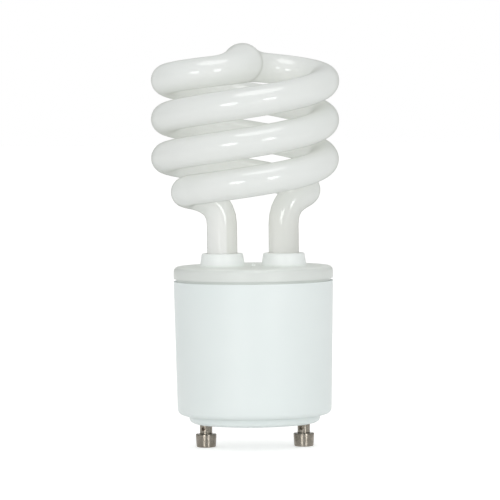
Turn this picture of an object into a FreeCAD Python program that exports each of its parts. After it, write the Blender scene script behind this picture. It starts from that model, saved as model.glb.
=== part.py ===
"""Spiral compact fluorescent lamp with a two-pin twist-lock base, standing base down.

All sizes are millimetres and degrees. +Z is up, the two contact pins lie on X, and the origin
is the middle of the boss's underside, the plane that seats against the lamp holder.
The driving sizes are cells of the sheet "Sizes"; every piece takes its size and place from them.
"""
import FreeCAD, Part
import math
import os

import Sketcher
from FreeCAD import Placement, Rotation, Vector

DRIVING_SIZES = {
    # contact pins, as the two-pin twist-lock base has them
    "pin_spacing": 24.0,
    "pin_neck_dia": 3.1,
    "pin_neck_length": 2.75,
    "pin_head_dia": 5.15,
    "pin_head_length": 3.3,
    "pin_head_taper_length": 2.6,
    "pin_head_end_dia": 4.8,
    "pin_edge_radius": 0.25,
    "pin_shank_dia": 3.4,
    "pin_rivet_dia": 4.8,
    "pin_rivet_thickness": 0.6,
    "pin_stub_dia": 1.6,
    "pin_stub_length": 2.6,
    "pin_dimple_dia": 0.8,
    "pin_dimple_depth": 0.5,
    "pin_dimple_drop": 1.5,
    "pin_dimple_angle": 25.0,
    # ballast housing, a moulded cup with draft
    "boss_step": 2.84,
    "boss_height": 2.04,
    "boss_edge_radius": 1.15,
    "housing_top_dia": 39.1,
    "housing_draft": 0.65,
    "housing_height": 32.74,
    "housing_corner_radius": 1.4,
    "housing_wall": 1.3,
    "housing_floor": 1.6,
    "pin_pad_dia": 7.0,
    "pin_pad_height": 1.8,
    "board_rib_width": 1.6,
    "board_rib_depth": 1.6,
    "board_rib_angle": 45.0,
    "snap_groove_drop": 1.8,
    "snap_groove_height": 1.2,
    "snap_groove_depth": 0.45,
    # lid with its two sleeves for the glass
    "seam_gap": 0.65,
    "seam_depth": 0.65,
    "lid_side_height": 2.95,
    "lid_edge_radius": 1.2,
    "lid_plate": 1.6,
    "spigot_wall": 1.2,
    "spigot_clearance": 0.1,
    "spigot_depth": 4.3,
    "snap_bead_length": 5.0,
    "snap_bead_clearance": 0.12,
    "sleeve_foot_dia": 11.1,
    "sleeve_top_dia": 10.1,
    "sleeve_height": 3.2,
    "sleeve_edge_radius": 0.5,
    "sleeve_foot_radius": 0.5,
    "ferrule_dia": 9.8,
    "ferrule_depth": 3.1,
    "cement_gap": 0.25,
    "cement_recess": 1.2,
    "gate_nub_dia": 1.2,
    "gate_nub_height": 0.6,
    # glass tube: two legs, two elbows, a double helix and a bridge with the cold spot
    "tube_dia": 7.4,
    "leg_spacing": 15.08,
    "leg_foot_gap": 1.8,
    "leg_top": 48.43,
    "elbow_handle": 11.9,
    "elbow_reach": 7.6,
    "elbow_drop": 3.44,
    "elbow_swell": 1.4,
    "elbow_lift": 0.6,
    "elbow_tail": 5.34,
    "join_angle": 50.0,
    "coil_start_z": 56.82,
    "coil_start_radius": 14.42,
    "coil_radius": 19.3,
    "coil_grow_angle": 141.75,
    "coil_pitch": 19.14,
    "coil_ease_angle": 30.65,
    "coil_turn": 540.0,
    "coil_shift": -1.82,
    "coil_lean": 0.63,
    "coil_tilt": 2.5,
    "tip_shift": -0.66,
    "tip_rise": 3.23,
    "cold_spot_swell": 1.2,
    "cold_spot_lift": 0.92,
    "cold_spot_half_length": 11.6,
    # circuit board and what stands on it
    "board_clearance": 0.75,
    "board_thickness": 1.6,
    "post_side": 0.8,
    "post_length": 5.2,
    "post_offset": 6.3,
    "lead_dia": 0.45,
    "lead_spread": 2.0,
    "wrap_dia": 1.9,
    "wrap_height": 1.4,
    "bulk_cap_dia": 10.0,
    "bulk_cap_length": 16.0,
    "bulk_cap_crimp": 0.4,
    "bulk_cap_crimp_drop": 2.0,
    "bulk_cap_crimp_half_width": 0.5,
    "bulk_cap_x": -9.2,
    "bulk_cap_y": -6.4,
    "choke_width": 13.0,
    "choke_height": 12.4,
    "choke_depth": 6.0,
    "choke_leg": 3.0,
    "choke_outer_leg": 1.8,
    "choke_yoke": 2.25,
    "choke_bobbin_wall": 0.7,
    "choke_winding_width": 10.4,
    "choke_x": 2.0,
    "choke_y": 8.2,
    "toroid_dia": 8.0,
    "toroid_bore": 4.0,
    "toroid_height": 3.6,
    "toroid_wire_dia": 0.5,
    "toroid_winding_width": 2.4,
    "toroid_x": -9.8,
    "toroid_y": 6.6,
    "transistor_width": 7.8,
    "transistor_height": 10.8,
    "transistor_thickness": 3.0,
    "transistor_hole_dia": 3.0,
    "transistor_hole_height": 3.2,
    "transistor_leg_length": 3.0,
    "transistor_leg_thickness": 0.5,
    "transistor_leg_pitch": 2.3,
    "transistor_y": -4.9,
    "high_side_x": 13.0,
    "low_side_x": 7.9,
    "resonant_cap_length": 10.0,
    "resonant_cap_thickness": 4.4,
    "resonant_cap_height": 9.0,
    "resonant_cap_x": 2.4,
    "resonant_cap_y": -12.2,
    "block_cap_length": 8.0,
    "block_cap_thickness": 4.0,
    "block_cap_height": 8.0,
    "block_cap_x": 1.8,
    "block_cap_y": -6.9,
    "film_cap_edge": 0.6,
    "drum_dia": 6.0,
    "drum_height": 8.0,
    "drum_flange": 1.0,
    "drum_core_dia": 2.8,
    "drum_winding_dia": 5.5,
    "drum_x": -0.6,
    "drum_y": -1.0,
    "fuse_dia": 3.4,
    "fuse_length": 9.0,
    "fuse_x": 11.8,
    "fuse_y": 4.6,
    "diode_dia": 2.6,
    "diode_length": 5.0,
    "diode_row": 10.2,
    "diode_row_pitch": 3.2,
    "resistor_dia": 2.0,
    "resistor_length": 4.0,
    "resistor_row": 3.4,
    "resistor_row_pitch": 3.2,
    "diac_dia": 1.8,
    "diac_length": 3.8,
    "lead_reach": 1.2,
    "component_lead_side": 0.6,
    "component_lift": 0.3,
    "mains_wire_dia": 1.5,
    "mains_wire_straight": 1.0,
    "mains_wire_bend_height": 9.0,
    "left_wire_x": -13.5,
    "left_wire_y": 1.0,
    "right_wire_x": 13.6,
    "right_wire_y": 1.1,
}

# sizes that follow from the ones above, with a named step or clearance
FITTED_SIZES = {
    "housing_bottom_dia": "=housing_top_dia - 2 * housing_draft",
    "boss_dia": "=housing_bottom_dia - 2 * boss_step",
    "board_dia": "=housing_top_dia - 2 * housing_wall - 2 * board_clearance",
}

doc = FreeCAD.newDocument("spiral_lamp")
sheet = doc.addObject("Spreadsheet::Sheet", "Sizes")


class Size:
    """A number that remembers the sheet formula it came from, so a property can be bound to it."""

    def __init__(self, value, formula=None):
        self.value = float(value)
        self.formula = formula if formula else repr(float(value))

    def _join(self, other, sign, value, swapped=False):
        other = other if isinstance(other, Size) else Size(other)
        left, right = (other, self) if swapped else (self, other)
        return Size(value(left.value, right.value), f"({left.formula} {sign} {right.formula})")

    def __add__(self, other):
        return self._join(other, "+", lambda a, b: a + b)

    def __radd__(self, other):
        return self._join(other, "+", lambda a, b: a + b, True)

    def __sub__(self, other):
        return self._join(other, "-", lambda a, b: a - b)

    def __rsub__(self, other):
        return self._join(other, "-", lambda a, b: a - b, True)

    def __mul__(self, other):
        return self._join(other, "*", lambda a, b: a * b)

    __rmul__ = __mul__

    def __truediv__(self, other):
        return self._join(other, "/", lambda a, b: a / b)

    def __neg__(self):
        return Size(-self.value, f"(0 - {self.formula})")


class SheetSizes:
    """The cells of the sheet by name: sizes.boss_dia is a Size bound to that cell."""

    def __init__(self, table):
        for row, (alias, number) in enumerate(table.items(), start=1):
            sheet.set(f"A{row}", alias)
            sheet.set(f"B{row}", str(number))
            sheet.setAlias(f"B{row}", alias)
        doc.recompute()
        for alias in table:
            setattr(self, alias, Size(sheet.get(alias), f"Sizes.{alias}"))


S = SheetSizes({**DRIVING_SIZES, **FITTED_SIZES})


def as_size(number):
    """Any number as a Size."""
    return number if isinstance(number, Size) else Size(number)


def bind(thing, **properties):
    """Set each property of a document object from a Size, and bind it to the formula."""
    for name, number in properties.items():
        number = as_size(number)
        setattr(thing, name, number.value)
        if "Sizes." in number.formula:
            thing.setExpression(name, number.formula)


def place(thing, at, axis="Z"):
    """Put an object's own origin at a point, with its Z axis along X, Y or Z, and bind the point."""
    turns = {"Z": Rotation(), "X": Rotation(Vector(0, 1, 0), 90), "Y": Rotation(Vector(1, 0, 0), -90)}
    point = [as_size(v) for v in at]
    thing.Placement = Placement(Vector(*[v.value for v in point]), turns[axis])
    for letter, number in zip("xyz", point):
        if "Sizes." in number.formula:
            thing.setExpression(f"Placement.Base.{letter}", number.formula)
    return thing


def cylinder(name, dia, length, at, axis="Z"):
    """A round bar that starts at a point and runs along an axis."""
    bar = doc.addObject("Part::Cylinder", name)
    bind(bar, Radius=dia / 2, Height=length)
    return place(bar, at, axis)


def cone(name, low_dia, top_dia, length, at):
    """A tapered round bar along Z."""
    bar = doc.addObject("Part::Cone", name)
    bind(bar, Radius1=low_dia / 2, Radius2=top_dia / 2, Height=length)
    return place(bar, at)


def block(name, size_x, size_y, size_z, centre_x, centre_y, low_z):
    """A box centred on a point in plan that stands on a height."""
    box = doc.addObject("Part::Box", name)
    bind(box, Length=size_x, Width=size_y, Height=size_z)
    return place(box, (centre_x - as_size(size_x) / 2, centre_y - as_size(size_y) / 2, low_z))


def spoke(name, inner, outer, width, height, centre, angle, low):
    """A box that points away from a centre at an angle, between two distances from it."""
    box = doc.addObject("Part::Box", name)
    bind(box, Length=outer - inner, Width=width, Height=height)
    cosine, sine = math.cos(math.radians(angle)), math.sin(math.radians(angle))
    corner_x = centre[0] + inner * cosine + width * (sine / 2)
    corner_y = centre[1] + inner * sine - width * (cosine / 2)
    place(box, (corner_x, corner_y, low))
    box.Placement = Placement(box.Placement.Base, Rotation(Vector(0, 0, 1), angle))
    return box


def fuse(name, shapes):
    """Several touching shapes as one solid."""
    joined = doc.addObject("Part::MultiFuse", name)
    joined.Shapes = shapes
    joined.Refine = True
    return joined


def cut(name, base, tools):
    """A base with one or more tools taken out of it."""
    tool = tools[0] if len(tools) == 1 else fuse(f"{name}_tools", tools)
    hollow = doc.addObject("Part::Cut", name)
    hollow.Base = base
    hollow.Tool = tool
    return hollow


def group(name, shapes):
    """Separate like solids kept together as one piece of the list."""
    together = doc.addObject("Part::Compound", name)
    together.Links = shapes
    return together


def ring_edges(shape, dia, height):
    """Names of the full circles of a diameter that lie flat at a height."""
    found = []
    for number, edge in enumerate(shape.Edges, start=1):
        if edge.Degenerated or not isinstance(edge.Curve, Part.Circle):
            continue
        same_size = abs(edge.Curve.Radius - dia.value / 2) < 1e-4
        if same_size and abs(edge.Curve.Center.z - height.value) < 1e-4:
            found.append(number)
    return found


def rounded(name, base, rounds):
    """A base with some of its flat circular edges rounded: each is a diameter, a height and a radius."""
    doc.recompute()
    soft = doc.addObject("Part::Fillet", name)
    soft.Base = base
    soft.Edges = [
        (number, radius.value, radius.value)
        for dia, height, radius in rounds
        for number in ring_edges(base.Shape, dia, as_size(height))
    ]
    return soft


def turned_body(name, outline):
    """A body of revolution about Z: a half section in the XZ plane, each corner bound to the sheet."""
    body = doc.addObject("PartDesign::Body", name)
    sketch = body.newObject("Sketcher::SketchObject", f"{name}_section")
    plane = next(f for f in body.Origin.OriginFeatures if f.Role == "XZ_Plane")
    sketch.AttachmentSupport = (plane, [""])
    sketch.MapMode = "FlatFace"
    corners = [(as_size(r), as_size(z)) for r, z in outline]
    ends = [Vector(r.value, z.value, 0) for r, z in corners]
    count = len(corners)
    for number in range(count):
        sketch.addGeometry(Part.LineSegment(ends[number], ends[(number + 1) % count]), False)
    for number in range(count):
        sketch.addConstraint(Sketcher.Constraint("Coincident", number, 2, (number + 1) % count, 1))
    for number, (radius, height) in enumerate(corners):
        for direction, axis, size in (("DistanceX", -2, radius), ("DistanceY", -1, height)):
            if abs(size.value) < 1e-9:
                sketch.addConstraint(Sketcher.Constraint("PointOnObject", number, 1, axis))
                continue
            index = sketch.addConstraint(
                Sketcher.Constraint(direction, -1, 1, number, 1, size.value)
            )
            sketch.setExpression(f"Constraints[{index}]", size.formula)
    doc.recompute()
    turn = body.newObject("PartDesign::Revolution", f"{name}_turn")
    turn.Profile = sketch
    turn.ReferenceAxis = (sketch, ["V_Axis"])
    turn.Angle = 360
    body.Tip = turn
    return body


def sweep(name, edges, dia):
    """A round bar swept along tangent edges, from the first edge's start."""
    path = doc.addObject("Part::Feature", f"{name}_path")
    path.Shape = Part.Wire(edges)
    start = edges[0].valueAt(edges[0].FirstParameter)
    tangent = edges[0].tangentAt(edges[0].FirstParameter)
    profile = doc.addObject("Part::Circle", f"{name}_profile")
    bind(profile, Radius=dia / 2)
    profile.Placement = Placement(start, Rotation(Vector(0, 0, 1), tangent))
    bar = doc.addObject("Part::Sweep", name)
    bar.Sections = [profile]
    bar.Spine = (path, [f"Edge{number}" for number in range(1, len(path.Shape.Edges) + 1)])
    bar.Solid = True
    bar.Frenet = False
    return bar


def tangent_arc(start, tangent, end):
    """The arc that leaves a start along a tangent and reaches an end, or a line where it is straight."""
    chord = end - start
    normal = tangent.cross(chord)
    if normal.Length < 1e-6 * chord.Length:
        return Part.LineSegment(start, end)
    normal.normalize()
    inward = normal.cross(tangent)
    radius = chord.Length ** 2 / (2 * inward.dot(chord))
    centre = start + inward * radius
    outward = (start + end) * 0.5 - centre
    outward.normalize()
    middle = centre + outward * (radius if tangent.dot(chord) > 0 else -radius)
    return Part.Arc(start, middle, end)


def arc_pair(start, start_tangent, end, end_tangent):
    """Two arcs that join two points smoothly and meet in a common tangent."""
    gap = end - start
    both = start_tangent + end_tangent
    bend = 2 * (1 - start_tangent.dot(end_tangent))
    if bend < 1e-7:
        return [Part.LineSegment(start, end).toShape()]
    along = gap.dot(both)
    reach = (-along + math.sqrt(along ** 2 + bend * gap.dot(gap))) / bend
    joint = (start + end + (start_tangent - end_tangent) * reach) * 0.5
    first = tangent_arc(start, start_tangent, joint)
    second = tangent_arc(end, end_tangent * -1, joint)
    if isinstance(second, Part.LineSegment):
        return [first.toShape(), Part.LineSegment(joint, end).toShape()]
    middle = second.value((second.FirstParameter + second.LastParameter) / 2)
    return [first.toShape(), Part.Arc(joint, middle, end).toShape()]


def smooth_path(stations):
    """Tangent edges through stations, each a point with its direction."""
    edges = []
    for (start, start_way), (end, end_way) in zip(stations, stations[1:]):
        edges += arc_pair(start, start_way, end, end_way)
    return edges


# Radii and heights that several pieces share
HOUSING_TOP_R = S.housing_top_dia / 2
HOUSING_LOW_R = S.housing_bottom_dia / 2
BOSS_R = S.boss_dia / 2
SEAM_Z = S.boss_height + S.housing_height
LID_FOOT_Z = SEAM_Z + S.seam_gap
LID_TOP_Z = LID_FOOT_Z + S.lid_side_height
BOARD_TOP_Z = SEAM_Z - S.spigot_depth
BOARD_LOW_Z = BOARD_TOP_Z - S.board_thickness
FLOOR_Z = S.boss_height + S.housing_floor
PAD_TOP_Z = S.housing_floor + S.pin_pad_height
LEG_FOOT_Z = BOARD_TOP_Z + S.leg_foot_gap
LEG_X = S.leg_spacing / 2
PIN_X = S.pin_spacing / 2
SIDES = {"left": -1, "right": 1}

# Steps between the stations of each stretch of the glass
ELBOW_STEPS = 8
HELIX_STEPS = 9
BRIDGE_STEPS = 3
COLD_SPOT_STEPS = 4


def make_housing():
    """The ballast housing: a drafted cup with a boss, two pin pads, four board ribs and a snap groove."""
    inner_low = HOUSING_LOW_R - S.housing_wall
    inner_top = HOUSING_TOP_R - S.housing_wall
    groove_top = SEAM_Z - S.snap_groove_drop
    groove_low = groove_top - S.snap_groove_height
    shell = turned_body("housing_shell", [
        (0, 0),
        (BOSS_R, 0),
        (BOSS_R, S.boss_height),
        (HOUSING_LOW_R, S.boss_height),
        (HOUSING_TOP_R, SEAM_Z),
        (inner_top, SEAM_Z),
        (inner_top, groove_top),
        (inner_top + S.snap_groove_depth, groove_top),
        (inner_top + S.snap_groove_depth, groove_low),
        (inner_top, groove_low),
        (inner_top, BOARD_LOW_Z),
        (inner_low, FLOOR_Z),
        (BOSS_R - S.housing_wall, FLOOR_Z),
        (BOSS_R - S.housing_wall, S.housing_floor),
        (0, S.housing_floor),
    ])
    soft = rounded("housing_rounded", shell, [
        (S.boss_dia, Size(0), S.boss_edge_radius),
        (S.housing_bottom_dia, S.boss_height, S.housing_corner_radius),
    ])
    pads = []
    holes = []
    for side, sign in SIDES.items():
        pad = cylinder(f"{side}_pin_pad", S.pin_pad_dia, S.pin_pad_height, (sign * PIN_X, 0, S.housing_floor))
        pads.append(pad)
        holes.append(cylinder(f"{side}_pin_hole", S.pin_shank_dia, PAD_TOP_Z, (sign * PIN_X, 0, 0)))
    rib_low = FLOOR_Z - S.housing_floor / 2
    ribs = [
        spoke(
            f"board_rib_{number + 1}", inner_low - S.board_rib_depth, inner_low + S.housing_wall / 2,
            S.board_rib_width, BOARD_LOW_Z - rib_low, (0, 0),
            S.board_rib_angle.value + 90 * number, rib_low,
        )
        for number in range(4)
    ]
    solid = fuse("housing_solid", [soft] + pads + ribs)
    return cut("housing", solid, holes)


def make_lid():
    """The lid: plate, rim with a shadow line, spigot with four snap beads, and two sleeves for the glass."""
    outer = HOUSING_TOP_R
    spigot_outer = outer - S.housing_wall - S.spigot_clearance
    spigot_inner = spigot_outer - S.spigot_wall
    plate_low = LID_TOP_Z - S.lid_plate
    cap = turned_body("lid_cap", [
        (0, LID_TOP_Z),
        (outer, LID_TOP_Z),
        (outer, LID_FOOT_Z),
        (outer - S.seam_depth, LID_FOOT_Z),
        (outer - S.seam_depth, SEAM_Z),
        (spigot_outer, SEAM_Z),
        (spigot_outer, BOARD_TOP_Z),
        (spigot_inner, BOARD_TOP_Z),
        (spigot_inner, plate_low),
        (0, plate_low),
    ])
    cap = rounded("lid_cap_rounded", cap, [(S.housing_top_dia, LID_TOP_Z, S.lid_edge_radius)])
    pieces = [cap]
    bores = []
    for side, sign in SIDES.items():
        foot = cone(
            f"{side}_sleeve_cone", S.sleeve_foot_dia, S.sleeve_top_dia, S.sleeve_height,
            (sign * LEG_X, 0, LID_TOP_Z),
        )
        sleeve = rounded(f"{side}_sleeve", foot, [
            (S.sleeve_top_dia, LID_TOP_Z + S.sleeve_height, S.sleeve_edge_radius),
        ])
        ferrule = cylinder(
            f"{side}_ferrule", S.ferrule_dia, S.ferrule_depth + S.lid_plate / 2,
            (sign * LEG_X, 0, plate_low - S.ferrule_depth),
        )
        bore = cylinder(
            f"{side}_sleeve_bore", S.tube_dia + 2 * S.cement_gap,
            S.ferrule_depth + S.lid_plate + S.sleeve_height,
            (sign * LEG_X, 0, plate_low - S.ferrule_depth),
        )
        pieces += [sleeve, ferrule]
        bores.append(bore)
    nub = doc.addObject("Part::Ellipsoid", "gate_nub")
    bind(nub, Radius1=S.gate_nub_height, Radius2=S.gate_nub_dia / 2, Radius3=S.gate_nub_dia / 2)
    nub.Angle1 = 0
    pieces.append(place(nub, (0, 0, LID_TOP_Z)))
    bead_reach = S.snap_groove_depth - S.snap_bead_clearance
    bead_height = S.snap_groove_height - 2 * S.snap_bead_clearance
    bead_low = SEAM_Z - S.snap_groove_drop - S.snap_groove_height + S.snap_bead_clearance
    bead_outer = spigot_outer + S.spigot_clearance + bead_reach
    bead_ring = cut("snap_bead_ring", cylinder(
        "snap_bead_outer", 2 * bead_outer, bead_height, (0, 0, bead_low),
    ), [cylinder("snap_bead_inner", 2 * spigot_outer - S.spigot_wall, bead_height, (0, 0, bead_low))])
    bars = fuse("snap_bead_bars", [
        block("snap_bead_bar_x", S.housing_top_dia, S.snap_bead_length, bead_height, 0, 0, bead_low),
        block("snap_bead_bar_y", S.snap_bead_length, S.housing_top_dia, bead_height, 0, 0, bead_low),
    ])
    beads = doc.addObject("Part::Common", "snap_beads")
    beads.Base = bead_ring
    beads.Tool = bars
    pieces.append(beads)
    solid = rounded("lid_rounded", fuse("lid_solid", pieces), [
        (S.sleeve_foot_dia, LID_TOP_Z, S.sleeve_foot_radius),
    ])
    return cut("lid", solid, bores)


def make_pin(side, sign):
    """A turned contact pin: head, neck, shank through the boss, rivet collar and solder stub."""
    neck_low = -S.pin_neck_length
    head_low = neck_low - S.pin_head_length
    rivet_top = PAD_TOP_Z + S.pin_rivet_thickness
    body = turned_body(f"{side}_pin_turned", [
        (0, head_low),
        (S.pin_head_end_dia / 2, head_low),
        (S.pin_head_dia / 2, head_low + S.pin_head_taper_length),
        (S.pin_head_dia / 2, neck_low),
        (S.pin_neck_dia / 2, neck_low),
        (S.pin_neck_dia / 2, 0),
        (S.pin_shank_dia / 2, 0),
        (S.pin_shank_dia / 2, PAD_TOP_Z),
        (S.pin_rivet_dia / 2, PAD_TOP_Z),
        (S.pin_rivet_dia / 2, rivet_top),
        (S.pin_stub_dia / 2, rivet_top),
        (S.pin_stub_dia / 2, rivet_top + S.pin_stub_length),
        (0, rivet_top + S.pin_stub_length),
    ])
    soft = rounded(f"{side}_pin_rounded", body, [
        (S.pin_head_dia, neck_low, S.pin_edge_radius),
        (S.pin_head_end_dia, head_low, S.pin_edge_radius),
    ])
    dimple = cylinder(f"{side}_pin_dimple", S.pin_dimple_dia, S.pin_neck_dia, (0, 0, -S.pin_dimple_drop))
    front_left = Rotation(Vector(0, 0, 1), -S.pin_dimple_angle.value).multVec(Vector(0, -1, 0))
    dimple.Placement = Placement(
        front_left * (S.pin_neck_dia.value / 2 - S.pin_dimple_depth.value)
        + Vector(0, 0, -S.pin_dimple_drop.value),
        Rotation(Vector(0, 0, 1), front_left),
    )
    pin = cut(f"contact_pin_{side}", soft, [dimple])
    return place(pin, (sign * PIN_X, 0, 0))


class Coil:
    """The centreline of the glass, worked out from the sheet: one arm, and the same arm turned half round."""

    def __init__(self):
        self.radius = S.coil_radius.value
        self.start_radius = S.coil_start_radius.value
        self.climb = S.coil_pitch.value / (2 * math.pi)
        self.ease = math.radians(S.coil_ease_angle.value)
        self.grow = math.radians(S.coil_grow_angle.value)
        self.turn = math.radians(S.coil_turn.value)
        self.join = math.radians(S.join_angle.value)
        self.foot = Vector(0, 0, S.coil_start_z.value)

    def helix(self, angle):
        """A point of the helix, an angle past the lowest outermost point; it starts narrow and level."""
        part = min(angle / self.grow, 1)
        radius = self.start_radius + (self.radius - self.start_radius) * math.sin(part * math.pi / 2)
        rise = self.climb * (angle - self.ease * (1 - math.exp(-angle / self.ease)))
        return Vector(
            radius * math.cos(math.pi + angle), radius * math.sin(math.pi + angle),
            self.foot.z + rise,
        )

    def bridge(self, share, tip_x):
        """A point of the half circle in plan that leads from the helix's end in to the tip."""
        end = self.helix(self.turn)
        radius = (self.radius - tip_x) / 2
        angle = math.pi * share
        start_slope = math.pi * radius * self.climb / self.radius
        leave = share ** 3 - 2 * share ** 2 + share
        arrive = 3 * share ** 2 - 2 * share ** 3
        height = end.z + leave * start_slope + arrive * S.tip_rise.value
        middle = (self.radius + tip_x) / 2
        return Vector(middle + radius * math.cos(angle), radius * math.sin(angle), height)

    def seat(self, point, sign):
        """A point of the arm in the lamp's frame: turned half round for the right arm, leaned and shifted."""
        turned = Vector(-sign * point.x, -sign * point.y, point.z) - self.foot
        turned = Rotation(Vector(0, 1, 0), S.coil_lean.value).multVec(turned)
        turned = Rotation(Vector(1, 0, 0), S.coil_tilt.value).multVec(turned)
        return turned + self.foot + Vector(S.coil_shift.value, 0, 0)

    def station(self, curve, at, sign):
        """A seated point of a curve with its direction."""
        step = 1e-4
        way = self.seat(curve(at + step), sign) - self.seat(curve(at - step), sign)
        way.normalize()
        return self.seat(curve(at), sign), way

    def arm(self, sign):
        """Stations of one arm from the leg's foot to the cold spot's start, and those of the cold spot."""
        tip_x = -sign * S.tip_shift.value
        bridge_length = math.pi * (self.radius - tip_x) / 2
        half = S.cold_spot_half_length.value / bridge_length
        span = (self.turn - self.join) / HELIX_STEPS

        def along_bridge(share):
            return self.bridge(share, tip_x)

        helix = [self.station(self.helix, self.join + span * n, sign) for n in range(HELIX_STEPS + 1)]
        bridge = [
            self.station(along_bridge, (1 - half) * n / BRIDGE_STEPS, sign)
            for n in range(1, BRIDGE_STEPS + 1)
        ]
        cold = [
            self.station(along_bridge, 1 - half * n / COLD_SPOT_STEPS, sign)
            for n in range(COLD_SPOT_STEPS, 0, -1)
        ]
        tip = self.station(along_bridge, 1 - 1e-4, sign)
        leg = sign * LEG_X.value
        foot = (Vector(leg, 0, LEG_FOOT_Z.value), Vector(0, 0, 1))
        top = (Vector(leg, 0, S.leg_top.value), Vector(0, 0, 1))
        return [foot, top] + self.elbow(top, helix[0], sign) + helix + bridge, cold + [tip]

    def elbow(self, top, landing, sign):
        """Stations inside the elbow: a curve of five handles from the leg's top onto the helix."""
        outermost = Vector(-self.start_radius - S.elbow_reach.value, 0, self.foot.z - S.elbow_drop.value)
        swollen = self.helix(self.join)
        outward = Vector(swollen.x, swollen.y, 0)
        outward.normalize()
        swollen = swollen + outward * S.elbow_swell.value + Vector(0, 0, S.elbow_lift.value)
        curve = Part.BezierCurve()
        curve.setPoles([
            top[0],
            top[0] + top[1] * S.elbow_handle.value,
            self.seat(outermost, sign),
            self.seat(swollen, sign),
            landing[0] - landing[1] * S.elbow_tail.value,
            landing[0],
        ])
        parts = [number / ELBOW_STEPS for number in range(1, ELBOW_STEPS)]
        return [(curve.value(part), Vector(*curve.tangent(part)[0])) for part in parts]


def make_tube():
    """The glass: legs, elbows and helix swept along tangent arcs, and the cold spot's dome lofted between."""
    coil = Coil()
    left, left_cold = coil.arm(SIDES["left"])
    right, right_cold = coil.arm(SIDES["right"])
    sweeps = [
        sweep("left_arm", smooth_path(left), S.tube_dia),
        sweep("right_arm", smooth_path(right), S.tube_dia),
    ]
    turned_back = [(point, way * -1) for point, way in reversed(right_cold[:-1])]
    rings = []
    stations = left_cold + turned_back
    middle = (len(stations) - 1) / 2
    for number, (point, way) in enumerate(stations):
        share = (1 + math.cos(math.pi * (number - middle) / middle)) / 2
        lift = S.cold_spot_lift.value * share
        ring = doc.addObject("Part::Circle", f"cold_spot_ring_{number + 1}")
        bind(ring, Radius=S.tube_dia / 2 + S.cold_spot_swell * share)
        ring.Placement = Placement(
            point + Vector(0, 0, lift), Rotation(Vector(), Vector(0, 0, 1), way, "ZYX"),
        )
        rings.append(ring)
    bump = doc.addObject("Part::Loft", "cold_spot")
    bump.Sections = rings
    bump.Solid = True
    tube = doc.addObject("Part::MultiFuse", "discharge_tube")
    tube.Shapes = [sweeps[0], bump, sweeps[1]]
    tube.Refine = False
    return tube


def make_cement(side, sign):
    """The ring of cement that holds a glass leg in its sleeve."""
    low = LID_TOP_Z - S.lid_plate - S.ferrule_depth
    length = S.ferrule_depth + S.lid_plate + S.sleeve_height - S.cement_recess
    ring = cylinder(f"{side}_cement_ring", S.tube_dia + 2 * S.cement_gap, length, (sign * LEG_X, 0, low))
    glass = cylinder(f"{side}_cement_bore", S.tube_dia, length, (sign * LEG_X, 0, low))
    return cut(f"tube_cement_{side}", ring, [glass])


POST_PLACES = [(sx, sy) for sx in (-1, 1) for sy in (-1, 1)]


def make_board():
    """The round circuit board with the square holes of its four posts."""
    disc = cylinder("board_disc", S.board_dia, S.board_thickness, (0, 0, BOARD_LOW_Z))
    holes = [
        block(
            f"post_hole_{number}", S.post_side, S.post_side, S.board_thickness,
            sx * LEG_X, sy * S.post_offset, BOARD_LOW_Z,
        )
        for number, (sx, sy) in enumerate(POST_PLACES, start=1)
    ]
    return cut("circuit_board", disc, holes)


def make_posts():
    """Four square posts pressed through the board, which the lamp's lead wires are wrapped on."""
    return group("wire_wrap_posts", [
        block(
            f"post_{number}", S.post_side, S.post_side, S.post_length,
            sx * LEG_X, sy * S.post_offset, BOARD_LOW_Z,
        )
        for number, (sx, sy) in enumerate(POST_PLACES, start=1)
    ])


def make_leads(side, sign):
    """The two lead wires of a glass leg, each ending in a few turns wrapped round its post."""
    wires = []
    wrap_low = BOARD_TOP_Z + S.component_lift
    level = wrap_low + S.wrap_height / 2
    bend = (LEG_FOOT_Z - level).value
    for end, way in (("front", -1), ("back", 1)):
        start = Vector(sign * LEG_X.value, way * S.lead_spread.value, LEG_FOOT_Z.value)
        corner = start + Vector(0, way * bend, -bend)
        stop = Vector(start.x, way * (S.post_offset.value - S.post_side.value / 2), level.value)
        edges = arc_pair(start, Vector(0, 0, -1), corner, Vector(0, way, 0))
        edges.append(Part.LineSegment(corner, stop).toShape())
        wire = sweep(f"{side}_{end}_lead", edges, S.lead_dia)
        wrap = cut(f"{side}_{end}_wrap", cylinder(
            f"{side}_{end}_wrap_turns", S.wrap_dia, S.wrap_height,
            (sign * LEG_X, way * S.post_offset, wrap_low),
        ), [block(
            f"{side}_{end}_wrap_bore", S.post_side, S.post_side, S.wrap_height,
            sign * LEG_X, way * S.post_offset, wrap_low,
        )])
        wires.append(fuse(f"{side}_{end}_lead_wire", [wire, wrap]))
    return group(f"lamp_leads_{side}", wires)


def make_bulk_capacitor():
    """The electrolytic capacitor's can, with the crimp near its sealed end."""
    low = BOARD_LOW_Z - S.bulk_cap_length
    crimp = BOARD_LOW_Z - S.bulk_cap_crimp_drop
    can = turned_body("bulk_capacitor", [
        (0, low),
        (S.bulk_cap_dia / 2 - S.bulk_cap_crimp, low),
        (S.bulk_cap_dia / 2, low + S.bulk_cap_crimp),
        (S.bulk_cap_dia / 2, crimp - S.bulk_cap_crimp_half_width),
        (S.bulk_cap_dia / 2 - S.bulk_cap_crimp, crimp),
        (S.bulk_cap_dia / 2, crimp + S.bulk_cap_crimp_half_width),
        (S.bulk_cap_dia / 2, BOARD_LOW_Z),
        (0, BOARD_LOW_Z),
    ])
    return place(can, (S.bulk_cap_x, S.bulk_cap_y, 0))


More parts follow.
